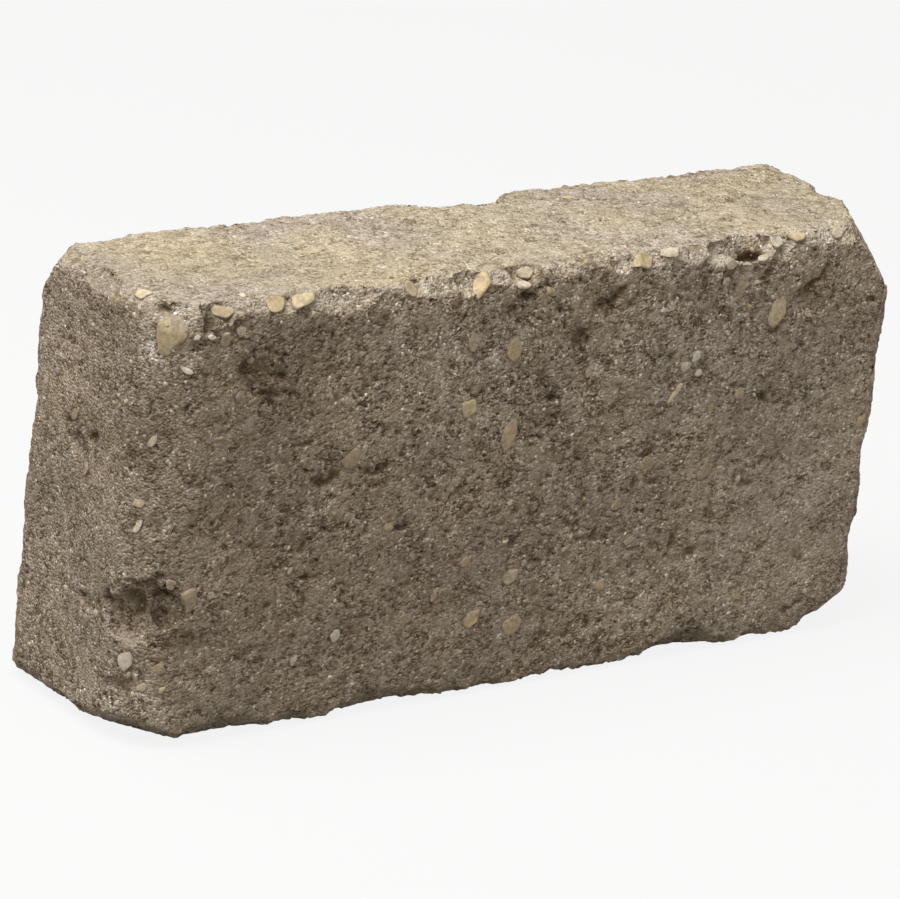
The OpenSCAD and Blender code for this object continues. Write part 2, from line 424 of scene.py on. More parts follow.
warp = add(relief, "ShaderNodeTexNoise", {"Vector": where, "Scale": 1 / WARP_SIZE}, out=1)
bent = add(relief, "ShaderNodeVectorMath", operation="MULTIPLY_ADD", inputs={
    0: warp, 1: (WARP_REACH,) * 3, 2: where})
cells = {size: add(relief, "ShaderNodeTexVoronoi", {
             "Vector": bent, "Scale": per_mm(given[size])}).node.outputs
         for size in ("Chip Size", "Crumb Size", "Rubble Size", "Pore Spacing")}
chip_reach, crumb_gap, rubble_gap = (
    add(relief, "ShaderNodeMath", {0: cells[size]["Distance"], 1: power},
        operation="POWER")
    for size, power in (("Chip Size", 2.0), ("Crumb Size", 1.9), ("Rubble Size", 1.6)))
chip_luck, crumb_luck, pore_luck = (
    add(relief, "FunctionNodeSeparateColor", {0: cells[size]["Color"]})
    for size in ("Chip Size", "Crumb Size", "Pore Spacing"))
chip_bowl = add(relief, "ShaderNodeMapRange", {0: chip_reach, 2: 0.42, 3: 1.0, 4: 0.0})
pore_bowl = add(relief, "ShaderNodeMapRange", interpolation_type="SMOOTHSTEP", inputs={
    0: cells["Pore Spacing"]["Distance"], 1: 0.05, 2: 0.34, 3: 1.0, 4: 0.0})
pore_luck = add(relief, "ShaderNodeMapRange", {0: pore_luck, 1: 0.45, 2: 0.9})

patchy = blotches(relief, where, CRUMB_PATCH, 0.42, 0.62, least=0.15, soft=True)
rough = add(relief, "ShaderNodeMath", operation="MAXIMUM", inputs={
    0: is_open, 1: add(relief, "ShaderNodeMath", operation="MULTIPLY", inputs={
        0: patchy, 1: add(relief, "ShaderNodeMapRange", {0: worn, 3: 0.35, 4: 1.5})})})
rough = add(relief, "ShaderNodeMath", operation="MAXIMUM", inputs={
    0: rough, 1: add(relief, "ShaderNodeMath", {0: worn, 1: 0.6}, operation="MULTIPLY")})
very_open = add(relief, "ShaderNodeMath", {0: is_open, 1: 2.0}, operation="POWER")
print("cells, mm:", {size: RELIEF[size] for size in cells})

# %% Sway, tears and grain
# Sway is the slow rise and fall of a face. A tear is the thin line where a stretched
# noise passes its middle value, kept in patches. Grain is the sand.
TEAR_PATCH = 8.0  # mm
TEAR_STRETCH = (1.0, 2.4, 3.2)

stretched = add(relief, "ShaderNodeVectorMath", {0: bent, 1: TEAR_STRETCH}, operation="MULTIPLY")
sway_wave, tear_wave, grain_wave = (
    add(relief, "ShaderNodeTexNoise", {
        "Vector": vector, "Scale": per_mm(given[size]), "Detail": detail})
    for vector, size, detail in ((where, "Sway Size", 2.0), (stretched, "Tear Length", 2.0),
                                 (where, "Grain Size", 1.0)))
sway_wave = add(relief, "ShaderNodeMapRange", {0: sway_wave, 1: 0.3, 2: 0.7})
tear_line = add(relief, "ShaderNodeMapRange", interpolation_type="SMOOTHSTEP", inputs={
    0: add(relief, "ShaderNodeMath", operation="ABSOLUTE", inputs={
        0: add(relief, "ShaderNodeMath", {0: tear_wave, 1: 0.5}, operation="SUBTRACT")}),
    1: 0.004, 2: 0.032, 3: 1.0, 4: 0.0})
tear_patch = blotches(relief, where, TEAR_PATCH, 0.50, 0.60, soft=True)
print("tears about", RELIEF["Tear Length"], "mm long, in patches of", TEAR_PATCH)

# %% Push the skin in and keep the amounts
# Each kind of relief is as deep as the product of its parts
parts = {
    "chip": (chip_bowl, chip_luck, add(relief, "ShaderNodeMath", {
        0: worn, 1: given["Chip Depth"]}, operation="MULTIPLY")),
    "crumb": (crumb_gap, rough, given["Crumb Depth"]),
    "rubble": (rubble_gap, very_open, given["Rubble Depth"]),
    "pore": (pore_bowl, pore_luck, given["Pore Depth"]),
    "tear": (tear_line, tear_patch, given["Tear Depth"]),
    "sway": (sway_wave, given["Sway Depth"]),
    "grain": (grain_wave, given["Grain Depth"]),
}
depths = {}
for kind, (depth, *others) in parts.items():
    for other in others:
        depth = add(relief, "ShaderNodeMath", {0: depth, 1: other}, operation="MULTIPLY")
    depths[kind] = depth

hollow = depths["pore"]
for kind in ("tear", "crumb", "rubble"):
    hollow = add(relief, "ShaderNodeMath", {0: hollow, 1: depths[kind]}, operation="ADD")
hollow = add(relief, "ShaderNodeMath", operation="MULTIPLY", inputs={
    0: hollow, 1: add(relief, "ShaderNodeMapRange", {0: is_calm, 3: 1.0, 4: 0.6})})
depth = hollow
for kind in ("chip", "sway", "grain"):
    depth = add(relief, "ShaderNodeMath", {0: depth, 1: depths[kind]}, operation="ADD")
upward = add(relief, "ShaderNodeSeparateXYZ", {0: normal}, out=2)
shape = given["Geometry"]
for name, value in (("hollow", hollow), ("worn", worn), ("upward", upward),
                    ("rough", rough), ("crumb", crumb_luck)):
    shape = add(relief, "GeometryNodeStoreNamedAttribute", {
        "Geometry": shape, "Name": name, "Value": value})
push = add(relief, "ShaderNodeVectorMath", operation="SCALE", inputs={
    0: normal, "Scale": add(relief, "ShaderNodeMath", {0: depth, 1: -MM}, operation="MULTIPLY")})
shape = add(relief, "GeometryNodeSetPosition", {"Geometry": shape, "Offset": push})
add(relief, "NodeGroupOutput", {0: shape})


def run_tree(obj, group, values):
    """Give obj the node group with these inputs, each set by its identifier."""
    modifier = obj.modifiers.new(group.name, "NODES")
    modifier.node_group = group
    for item in group.interface.items_tree:
        if item.in_out == "INPUT" and item.name in values:
            modifier[item.identifier] = values[item.name]


run_tree(skin, relief, {**RELIEF, "Half Size": tuple((high - low) / 2 / MM),
                        "Centre": tuple((high + low) / 2 / MM)})
block = finished(skin, "tumbled_block")
deepest = max(value.value for value in block.data.attributes["hollow"].data)
print("relief done, deepest pore or crumb gap, mm:", round(deepest, 2))

# %% [markdown]
# ## Stones that can be named
# Some pieces of gravel are big and bright enough to know this block by, so they are
# placed one by one. Crushed gravel has flat flanks with rounded corners, so each stone
# is a ball cut by five upright planes. Its crown is laid on the surface like a tile,
# because wear has cut stone and paste down together. Round each stone the paste has
# shrunk back a little, which leaves a groove that frames it, painted dark as the shade
# in it.

# %% Named stones
# Each row: x, y, z, length, width in mm, tilt in degrees from level, proud in mm,
# shade from 0 (dark grey) through 0.45 (tan) and 0.65 (yellow) to 1 (white), and
# how bare of paste it is, from 0 to 1
STONES = [
    (-109, -37, 149, 9, 7, 10, 0.9, 0.66, 0.8),
    (-99, -36, 148, 12, 7, 5, 1, 0.7, 0.8),
    (-128, -33, 146, 8, 5, 0, 0.8, 0.56, 0.5),
    (-128, -38, 138, 6, 4, 80, 0.6, 0.52, 0.4),
    (-139, -37, 140, 3, 2, 30, 0.6, 1, 0.4),
    (-141, -36, 129, 5, 2, -20, 0.7, 1, 0.6),
    (-121, -38, 119, 5, 4, 40, 0.5, 0.25, 0.2),
    (-117, -38, 109, 9, 5, 80, 0.3, 0.18, 0),
    (-57, -36, 147, 7, 6, 35, 0.9, 0.46, 0.8),
    (-28, -37, 146, 13, 10, 60, 1.2, 0.62, 0.9),
    (-10, -34, 147, 7, 5, 10, 0.9, 0.82, 0.8),
    (-13, -38, 144, 7, 5, 15, 1.1, 0.9, 0.8),
    (38, -37, 148, 14, 8, -15, 0.9, 0.66, 0.7),
    (49, -36, 149, 12, 6, 5, 0.8, 0.88, 0.6),
    (61, -34, 149, 7, 4, 0, 0.5, 0.72, 0.2),
    (104, -35, 148, 10, 6, 15, 1.3, 0.7, 0.8),
    (96, -35, 148, 8, 6, 0, 1.2, 0.95, 0.7),
    (123, -35, 148, 8, 5, 10, 1.1, 0.86, 0.7),
    (81, -38, 132, 8, 5, 70, 0.6, 0.45, 0.4),
    (98, -38, 123, 12, 8, 70, 0.8, 0.74, 0.5),
    (-13, -38, 122, 9, 7, 80, 0.8, 0.66, 0.6),
    (-30, -38, 128, 10, 6, 65, 0.3, 0.78, 0),
    (-30, -38, 104, 8, 7, 50, 1, 0.72, 1),
    (19, -38, 110, 4, 3, 60, 0.5, 0.75, 0.2),
    (-12, -38, 92, 12, 6, 75, 0.8, 0.64, 0.7),
    (-75, -38, 92, 9, 7, 20, 0.6, 0.5, 0.3),
    (60, -38, 108, 5, 4, 30, 1.1, 0.96, 1),
    (64, -38, 111, 5, 4, 60, 1.1, 1, 1),
    (57, -38, 99, 11, 2, 50, 0.8, 0.74, 0.5),
    (66, -38, 105, 4, 3, 0, 1.1, 1, 1),
    (74, -38, 91, 4, 3, 20, 0.6, 0.62, 0.4),
    (86, -38, 95, 5, 4, 30, 0.6, 0.52, 0.3),
    (49, -38, 74, 7, 6, 60, 0.6, 0.5, 0.3),
    (75, -38, 68, 8, 6, 30, 0.6, 0.5, 0.3),
    (-8, -38, 68, 3, 2, 30, 0.5, 0.95, 0.2),
    (-57, -38, 66, 4, 3, 0, 0.4, 0.6, 0.1),
    (-95, -38, 56, 3, 2, 60, 0.5, 0.95, 0.2),
    (-4, -38, 41, 8, 6, 40, 0.8, 0.8, 0.5),
    (1, -38, 45, 3, 3, 0, 0.4, 0.85, 0.1),
    (-24, -38, 49, 5, 4, 30, 0.6, 0.58, 0.4),
    (-35, -38, 39, 6, 3, 60, 0.6, 0.62, 0.5),
    (-46, -38, 32, 6, 4, 20, 0.5, 0.52, 0.3),
    (-18, -38, 28, 9, 6, 50, 0.8, 0.62, 0.6),
    (-1, -38, 23, 9, 8, 40, 0.8, 0.66, 0.4),
    (-16, -38, 33, 3, 2, 0, 0.5, 0.9, 0.2),
    (-74, -38, 30, 6, 5, 65, 0.8, 1, 0.7),
    (-90, -38, 24, 4, 3, 50, 0.7, 1, 0.6),
    (18, -38, 48, 6, 2, 30, 0.6, 0.85, 0.4),
    (45, -38, 47, 6, 3, 20, 0.6, 0.8, 0.4),
    (35, -38, 32, 5, 4, 0, 0.6, 0.66, 0.4),
    (38, -38, 61, 6, 4, 40, 0.6, 0.5, 0.3),
    (97, -38, 19, 4, 3, 0, 0.6, 0.72, 0.4),
    (73, -34, 5, 6, 4, 0, 0.5, 0.8, 0.2),
    (134, -36, 19, 4, 3, 0, 0.4, 0.75, 0.1),
    (143, -38, 78, 6, 4, 60, 0.6, 0.66, 0.4),
    (147, -37, 93, 5, 4, 40, 0.6, 0.85, 0.4),
    (-134, -38, 51, 10, 9, 60, 1.2, 0.5, 0.3),
    (-140, -37, 57, 4, 4, 0, 0.9, 0.4, 0.2),
    (-149, -28, 29, 8, 6, 80, 0.9, 0.95, 1),
    (-146, -32, 140, 17, 13, 65, 0.5, 0.62, 0.15),
    (-147, -17, 149, 8, 6, 10, 0.6, 0.74, 0.5),
    (-122, -37, 140, 4, 4, 40, 0.6, 0.86, 0.4),
    (-134, -38, 140, 3, 2, 0, 0.8, 0.98, 0.7),
    (-141, -36, 28, 5, 4, 0, 0.5, 0.55, 0.2),
    (-125, -38, 52, 3, 3, 60, 0.6, 1, 0.4),
    (-145, -33, 21, 5, 3, 20, 0.5, 0.8, 0.2),
    (-149, -28, 83, 5, 3, 10, 0.5, 0.66, 0.2),
    (-149, -28, 75, 6, 3, 60, 0.6, 0.9, 0.4),
    (-152, 0, 85, 5, 5, 0, 0.3, 0.58, 0),
    (-152, 8, 101, 6, 3, 60, 0.4, 0.52, 0.1),
    (-148, -30, 104, 6, 3, 60, 0.5, 0.86, 0.2),
    (51, 22, 150, 7, 5, 0, 0.4, 0.68, 0.1),
    (-71, 3, 150, 12, 7, 0, 0.2, 0.62, 0),
    (75, -38, 142, 5, 4, 30, 1.1, 0.88, 0.2),
    (82, -38, 141, 6, 4, -20, 1.1, 0.9, 0.2),
    (74, -38, 136, 4, 3, 60, 1, 0.84, 0.2),
    (82, -38, 134, 5, 3, 10, 0.9, 0.84, 0.2),
    (89, -37, 143, 5, 3, 0, 1, 0.9, 0.2),
    (78, -38, 138, 4, 3, -40, 1, 0.86, 0.2),
]

# %% Where a stone lies
RAY_START = 3  # mm outside the smooth shell, so outside the rough skin too


def laid_at(x, y, z, tilt):
    """Nearest point on the smooth shell, and there the axes along, aside and out."""
    at, out, _, _ = smooth_shell.find_nearest(Vector((x, y, z)) * MM)
    # Up is the guide, but on a face that itself looks up the guide is the back
    guide = Vector((0, 0, 1)) if abs(out.z) < 0.8 else Vector((0, 1, 0))
    across = guide.cross(out).normalized()
    axis = (across * math.cos(math.radians(tilt))
            + out.cross(across) * math.sin(math.radians(tilt)))
    return at, axis, out.cross(axis), out


def skin_depth(point):
    """How far the rough skin lies below the smooth shell here, in metres."""
    at, out, _, _ = smooth_shell.find_nearest(point)
    hit = block_shell.ray_cast(at + out * RAY_START * MM, -out)[0]
    return (at - hit).dot(out) if hit else 0.0


block_shell = shell_of(block)
chunk = bmesh.new()
bmesh.ops.create_icosphere(chunk, subdivisions=3, radius=1.0)
chunk.verts.ensure_lookup_table()
ball = [vert.co.copy() for vert in chunk.verts]
ball_faces = [[vert.index for vert in face.verts] for face in chunk.faces]
chunk.free()
print("a stone has", len(ball_faces), "triangles")

# %% Shape and lay each stone
FLANKS = 5
FLANK_SWING = 0.7  # how far a flank may turn towards the next one
CUT_FROM, CUT_TO = 0.66, 0.94  # how far out it cuts the ball, whose radius is 1
MOST_TIP = 0.4  # mm, how far a crown leans to one side
CROWN, ROOT = 0.6, 0.45  # mm of crown for each mm proud, and of root for width
LUMP_HEIGHT, LUMPS_ACROSS = 0.25, 1.7
STANDS_OUT = 0.75  # mm proud, above which it rests on the highest paste
FEET = ((0, 0), (0.8, 0), (-0.8, 0), (0, 0.8), (0, -0.8))
GAP_AT = 0.9  # where the line round it runs, as a share of its size

points, faces, rims = [], [], []
for number, (x, y, z, length, width, tilt, proud, _, _) in enumerate(STONES):
    luck = random.Random(number)
    cuts = [(math.tau * (flank + luck.uniform(0, FLANK_SWING)) / FLANKS,
             luck.uniform(CUT_FROM, CUT_TO)) for flank in range(FLANKS)]
    tip_along, tip_aside = (luck.uniform(-MOST_TIP, MOST_TIP) for _ in range(2))
    at, axis, side, out = laid_at(x, y, z, tilt)
    half = (length / 2 * MM, width / 2 * MM)
    depths = sorted(skin_depth(at + axis * half[0] * i + side * half[1] * j) for i, j in FEET)
    level = -depths[0 if proud > STANDS_OUT else 2]
    shift = Vector((number * 7.3, 0, 0))  # far enough that no two have the same lumps
    faces += [[len(points) + index for index in face] for face in ball_faces]
    for spot in ball:
        i, j = spot.x, spot.y
        for angle, limit in cuts:
            reach = i * math.cos(angle) + j * math.sin(angle)
            if reach > limit:
                i, j = i * limit / reach, j * limit / reach
        foot, away, _, _ = smooth_shell.find_nearest(
            at + axis * half[0] * i + side * half[1] * j)
        lump = LUMP_HEIGHT * noise.noise(spot * LUMPS_ACROSS + shift)
        height = (CROWN * proud * (spot.z ** 0.5 + lump) if spot.z > 0 else ROOT * width * spot.z)
        height += tip_along * i + tip_aside * j
        points.append(foot + away * (level + height * MM))
    rims.append((at, axis, side, length / 2 * GAP_AT, width / 2 * GAP_AT))

named_stones = show("named_stones", bpy.data.meshes.new("named_stones"))
named_stones.data.from_pydata(points, [], faces)
named_stones.data.polygons.foreach_set("use_smooth", [True] * len(faces))
store(named_stones.data, shade=np.repeat([row[-2] for row in STONES], len(ball)),
      bare=np.repeat([row[-1] for row in STONES], len(ball)),
      crown=[spot.z for spot in ball] * len(STONES))
print("named stones:", len(STONES), "with", len(faces), "triangles")

# %% [markdown]
# ## Hollows that can be named
# The deep socket that a big stone left, slots, cracks and small holes are pressed into
# the skin one by one as well. Each is an oval bowl that fades to nothing at its
# rim. A little noise spoils the oval, and bends a slot off its straight line. Spalls
# are fresh breaks, so they stay pale, while old hollows are painted darker, for dirt and
# for the shade inside them. The same pass opens the thin line round every named stone,
# painted dark as the shade in it.

# %% Named hollows
# Each row: x, y, z, length, width, depth in mm, and tilt in degrees from level
SPALLS = [
    (80, -38, 138, 20, 13, 2.4, -5),
    (72, -37, 144, 6, 9, 1.8, 80),
    (-126, -37, 140, 15, 9, 1.2, 20),
    (-150, -26, 20, 15, 8, 1, 0),
    (98, -36, 144, 8, 6, 1.6, 0),
]
HOLLOWS = [
    (-147, -28, 49, 15, 9, 2, 80),
    (-141, -35, 53, 13, 6, 2.6, 8),
    (-152, -19, 48, 5, 5, 2.6, 60),
    (-144, -26, 146, 6, 3, 1.6, 0),
    (-134, -36, 144, 7, 5, 2, 0),
    (85, -35, 144, 14, 4, 3, 5),
    (67, -36, 145, 4, 8, 1.8, 80),
    (78, -38, 135, 8, 3, 1.4, 20),
    (112, -38, 130, 14, 4, 1.8, 35),
    (141, -38, 123, 7, 3, 2, 10),
    (90, -38, 137, 10, 4, 1.6, -10),
    (23, -38, 134, 14, 3, 1.6, 8),
    (-11, -38, 140, 9, 3, 2, -5),
    (-37, -38, 144, 6, 3, 1.6, 20),
    (14, -38, 123, 12, 3, 1.2, 40),
    (98, -38, 116, 7, 3, 1.6, 20),
    (97, -38, 92, 9, 3, 1.6, -20),
    (103, -38, 90, 4, 3, 1.3, 0),
    (65, -38, 43, 12, 3, 1.8, 70),
    (74, -38, 38, 9, 3, 1.6, 20),
    (106, -38, 37, 9, 3, 1.8, 55),
    (62, -38, 18, 8, 3, 1.6, 30),
    (123, -38, 11, 12, 3, 1.8, 25),
    (48, -38, 78, 9, 3, 1.6, 20),
    (95, -38, 61, 9, 3, 1.5, 10),
    (-84, -38, 85, 13, 3, 1.6, 15),
    (-64, -38, 87, 15, 2.5, 1.5, 0),
    (-87, -38, 53, 10, 3, 1.6, -10),
    (-52, -38, 65, 8, 3, 1.8, 10),
    (-5, -38, 53, 4, 4, 1.3, 0),
    (-118, -38, 128, 12, 3, 1.6, 60),
    (-106, -38, 124, 8, 3, 1.5, -40),
    (-111, -38, 118, 12, 3, 1.4, -5),
    (-25, -38, 109, 10, 3, 1.6, 25),
    (5, -38, 104, 8, 3, 1.4, 30),
    (-152, 12, 97, 5, 4, 1.6, 0),
    (-152, -4, 97, 7, 4, 1.8, 30),
    (-152, 2, 92, 10, 2, 1.2, -20),
    (-71, 8, 150, 7, 1.5, 0.9, 0),
    (-29, 2, 150, 6, 1.5, 0.9, 0),
    (-42, 11, 150, 8, 1.5, 0.9, 0),
    (15, 2, 150, 9, 1.5, 0.9, 0),
    (84, 20, 150, 9, 1.5, 0.9, 0),
]

# %% Press the hollows in
RAGGED_SIZE, RAGGED = 3.0, 0.5  # mm, and a share of the hollow's size
WANDER = 2.4  # mm, how far a slot strays from straight
PRESS_REACH = 6.0  # mm, so the far side of the block is left alone
GAP_DEPTH = 0.5  # mm
GAP_OUT, GAP_WIDTH = 1.08, 0.3  # shares of the size that the gap is given
FRESH, OLD, PACKED = 0.15, 1.0, 1.2  # how much darker each mm of depth is painted: dirt, and painted shade

places = point_places(block.data)
hollow_values = np.empty(len(places))
block.data.attributes["hollow"].data.foreach_get("value", hollow_values)
ragged = np.array([noise.noise(Vector(place) / (RAGGED_SIZE * MM)) for place in places])


def press(centre, axis, side, out, half_length, half_width, deep, dirt_and_shade_per_mm, ring=0.0):
    """Press an oval bowl into the skin, or a ring-shaped groove at its rim."""
    arm = places - np.array(centre)
    aside = arm @ np.array(side) + (0.0 if ring else WANDER * MM * ragged)
    far = np.sqrt((arm @ np.array(axis) / (half_length * MM)) ** 2
                  + (aside / (half_width * MM)) ** 2) + RAGGED * ragged
    near = np.abs(arm @ np.array(out)) < PRESS_REACH * MM
    if ring:
        broken = np.clip(0.4 + 2.5 * ragged, 0, 1)
        bowl = np.clip(1 - np.abs(far - GAP_OUT) / ring, 0, 1) * broken
    else:
        bowl = np.clip(1 - far ** 2, 0, 1) ** 0.8
    bowl = bowl * near * deep
    places[:] -= bowl[:, None] * np.array(out) * MM
    # What is kept here paints the hollow darker later: dirt, and painted shade.
    hollow_values[:] = np.maximum(hollow_values, bowl * dirt_and_shade_per_mm)


for rows, dirt_and_shade_per_mm in ((SPALLS, FRESH), (HOLLOWS, OLD)):
    for x, y, z, length, width, deep, tilt in rows:
        press(*laid_at(x, y, z, tilt), length / 2, width / 2, deep, dirt_and_shade_per_mm)
for at, axis, side, half_length, half_width in rims:
    press(at, axis, side, axis.cross(side), half_length, half_width, GAP_DEPTH, PACKED,
          ring=GAP_WIDTH)
block.data.vertices.foreach_set("co", places.ravel())
block.data.attributes["hollow"].data.foreach_set("value", hollow_values)
block.data.update()
print("named hollows:", len(HOLLOWS), "and spalls:", len(SPALLS))

# %% [markdown]
# ## Fewer triangles where nothing happens
# The even grid has more faces than the shape needs. Decimate folds away the ones on
# calmer ground and keeps them in the pores and along the chips.

# %% Thin the skin
MOST_TRIANGLES = 194000
squares = len(block.data.polygons)
thin = block.modifiers.new("thin", "DECIMATE")
thin.ratio = min(1.0, MOST_TRIANGLES / (2 * squares))
block = finished(block, "tumbled_block")
block.data.polygons.foreach_set("use_smooth", [True] * len(block.data.polygons))
print("block:", len(block.data.polygons), "faces")

# %% [markdown]
# ## The small gravel
# Hundreds of grit stones of one to four millimetres show at the surface. Geometry
# Nodes scatter them with a fixed seed: points on the skin, one squashed 24-sided ball
# on each, sunk a little. The balls are made real and then pulled about by noise, so
# no two are alike. A random number on each stone picks its colour.

# %% Scattered grit
# Stones for each square metre, half sizes in mm, and the share of them that is sunk.
# Most stones are small, because their sizes follow the cube of a random number.
GRIT = {"Density": 5200.0, "Smallest": 0.45, "Largest": 1.75, "Sunk": 0.30}
THINNEST, THICKEST = (0.8, 0.45, 0.45), (1.25, 1.0, 0.7)
PULL, PULLS_PER_MM = 0.6 * MM, 0.7

grit, given = new_group("scattered_grit", {
    **dict.fromkeys(GRIT, "Float"), "Finish": "Material"})
scatter = add(grit, "GeometryNodeDistributePointsOnFaces", {
    "Mesh": given["Geometry"], "Density": given["Density"], "Seed": 11}).node.outputs
luck = add(grit, "FunctionNodeRandomValue", {"Seed": 3}, out=1)
size = add(grit, "ShaderNodeMapRange", {
    0: add(grit, "ShaderNodeMath", {0: luck, 1: 3.0}, operation="POWER"),
    3: given["Smallest"], 4: given["Largest"]})
sink = add(grit, "ShaderNodeMath", operation="MULTIPLY", inputs={
    0: add(grit, "ShaderNodeMath", {0: size, 1: given["Sunk"]}, operation="MULTIPLY"),
    1: -MM})
dots = add(grit, "GeometryNodeSetPosition", {
    "Geometry": scatter["Points"],
    "Offset": add(grit, "ShaderNodeVectorMath", {0: scatter["Normal"], "Scale": sink},
                  operation="SCALE")})
shade = add(grit, "FunctionNodeRandomValue", {"Seed": 5}, out=1)
for name, value in (("shade", shade), ("bare", 0.6), ("crown", 1.0)):
    dots = add(grit, "GeometryNodeStoreNamedAttribute", {
        "Geometry": dots, "Name": name, "Value": value})
cube = add(grit, "GeometryNodeMeshCube", {
    "Vertices X": 3, "Vertices Y": 3, "Vertices Z": 3})
round_ball = add(grit, "GeometryNodeSetPosition", {
    "Geometry": cube, "Position": add(grit, "ShaderNodeVectorMath", {
        0: add(grit, "GeometryNodeInputPosition")}, operation="NORMALIZE")})
squash = add(grit, "FunctionNodeRandomValue", {0: THINNEST, 1: THICKEST, "Seed": 7},
             data_type="FLOAT_VECTOR")
stretch = add(grit, "ShaderNodeVectorMath", operation="SCALE", inputs={
    0: squash, "Scale": add(grit, "ShaderNodeMath", {0: size, 1: MM}, operation="MULTIPLY")})
stones = add(grit, "GeometryNodeInstanceOnPoints", {
    "Points": dots, "Instance": round_ball, "Rotation": scatter["Rotation"],
    "Scale": stretch})
spin = add(grit, "ShaderNodeCombineXYZ", {
    2: add(grit, "FunctionNodeRandomValue", {3: math.tau, "Seed": 9}, out=1)})
stones = add(grit, "GeometryNodeRotateInstances", {"Instances": stones, "Rotation": spin})
stones = add(grit, "GeometryNodeRealizeInstances", {"Geometry": stones})
bumps = add(grit, "ShaderNodeTexNoise", {
    "Vector": add(grit, "GeometryNodeInputPosition"), "Scale": PULLS_PER_MM / MM}, out=1)
pull = add(grit, "ShaderNodeVectorMath", operation="SCALE", inputs={
    0: add(grit, "ShaderNodeVectorMath", {0: bumps, 1: (0.5, 0.5, 0.5)},
           operation="SUBTRACT"), "Scale": PULL})
stones = add(grit, "GeometryNodeSetPosition", {"Geometry": stones, "Offset": pull})
stones = add(grit, "GeometryNodeSetShadeSmooth", {"Geometry": stones})
stones = add(grit, "GeometryNodeSetMaterial", {
    "Geometry": stones, "Material": given["Finish"]})
add(grit, "NodeGroupOutput", {0: stones})
print("grit tree:", len(grit.nodes), "nodes")

# %% [markdown]
# ## Gravel finish
# The stones are flint and quartzite: grey, tan, yellow, cream and milky white, worn
# matt by the drum, with a film of cement still on most of them. One material serves
# them all: the `shade` attribute picks the colour, noise lays the cement film, and a
# fine bump breaks the highlight.

# %% Gravel material
PASTE_FILM = srgb("#a69886")
VEIN_SIZE, FILM_SIZE, FILM_SAND, FINE_SIZE = 1.6, 2.6, 0.9, 0.6  # mm


def in_mm(tree):
    """Where a point is on the object, in mm."""
    return add(tree, "ShaderNodeVectorMath", operation="SCALE", inputs={
        0: add(tree, "ShaderNodeTexCoord", out=3), "Scale": 1 / MM})


def ramp(tree, factor, stops):
    """Colour ramp with stops given as place: sRGB hex."""
    colour = add(tree, "ShaderNodeValToRGB", {0: factor})
    elements = colour.node.color_ramp.elements
    while len(elements) < len(stops):
        elements.new(0.5)
    for element, (place, code) in zip(elements, stops.items()):
        element.position = place
        element.color = srgb(code)
    return colour


gravel, tree = new_material("flint_and_quartzite_gravel")
mm = in_mm(tree)
shade, bare, crown = (add(tree, "ShaderNodeAttribute", out=2, attribute_name=name)
                      for name in ("shade", "bare", "crown"))
stone = ramp(tree, shade, {0.0: "#7d7468", 0.2: "#948a7e", 0.45: "#b5a281",
                           0.65: "#dcc595", 0.85: "#e6d8ba", 1.0: "#f0e8d8"})
veins = blotches(tree, mm, VEIN_SIZE, 0.3, 0.7, 0.72, 1.18, Detail=3.0)
stone = add(tree, "ShaderNodeMix", {0: 1.0, 6: stone, 7: veins}, out=2,
            data_type="RGBA", blend_type="MULTIPLY")
film_noise = add(tree, "ShaderNodeTexNoise", {
    "Vector": mm, "Scale": 1 / FILM_SIZE, "Detail": 4.0, "Roughness": 0.7})
thinnest, thickest, rim = (
    add(tree, "ShaderNodeMapRange", {0: bare, 3: covered, 4: cleaned})
    for covered, cleaned in ((0.35, 0.0), (0.85, 0.30), (0.5, 0.15)))
film = add(tree, "ShaderNodeMapRange", {
    0: film_noise, 1: 0.42, 2: 0.60, 3: thinnest, 4: thickest})
at_rim = add(tree, "ShaderNodeMapRange", interpolation_type="SMOOTHSTEP", inputs={
    0: add(tree, "ShaderNodeMath", {0: crown, 1: film_noise}, operation="SUBTRACT"),
    1: -0.12, 2: rim, 3: 0.95, 4: 0.0})
film = add(tree, "ShaderNodeMath", {0: film, 1: at_rim}, operation="MAXIMUM")
film_sand = add(tree, "ShaderNodeTexVoronoi", {
    "Vector": mm, "Scale": 1 / FILM_SAND}, out=1)
film_sand = add(tree, "ShaderNodeMapRange", {
    0: add(tree, "ShaderNodeSeparateColor", {0: film_sand}), 3: 0.55, 4: 1.4})
paste = add(tree, "ShaderNodeMix", {0: 1.0, 6: PASTE_FILM, 7: film_sand}, out=2,
            data_type="RGBA", blend_type="MULTIPLY")
stone = add(tree, "ShaderNodeMix", {0: film, 6: stone, 7: paste}, out=2,
            data_type="RGBA")
fine = add(tree, "ShaderNodeTexNoise", {"Vector": mm, "Scale": 1 / FINE_SIZE})
dents = add(tree, "ShaderNodeBump", {"Strength": 0.5, "Distance": 0.25 * MM, "Height": fine})
add(tree, "ShaderNodeOutputMaterial", {0: add(tree, "ShaderNodeBsdfPrincipled", {
    "Base Color": stone, "Roughness": 0.72, "IOR": 1.54, "Normal": dents})})

# %% [markdown]
# ## Dry-pressed concrete finish
# Cement paste over sharp sand: quite matt, and never one colour. From far away it
# drifts between buff and grey in clouds of 40 mm; closer there is mottling of 6 mm;
# closest are single sand grains of about a millimetre, with pores between them painted
# dark as the shade inside them.
# The relief's attributes steer the rest: hollows hold shadow and dirt, worn edges show
# bruised, whitish paste, whiter where it faces up as painted light, and the top face,
# which was struck off in the mould, has fine drag marks along its length and is painted
# paler, partly its own colour and partly painted light.

# %% Concrete material: body colour
# Sizes of the patterns, in mm
CLOUD_SIZE, MOTTLE_SIZE, PATCH_SIZE, SAND_SIZE = 40.0, 6.0, 9.0, 0.9
LUMP_SIZE, LUMP_WARP, LUMP_REACH = 4.5, 2.5, 3.0
PORE_SIZE, CRACK_SIZE, CRACK_PATCH, BRUISE_SIZE = 1.3, 4.5, 7.0, 3.5

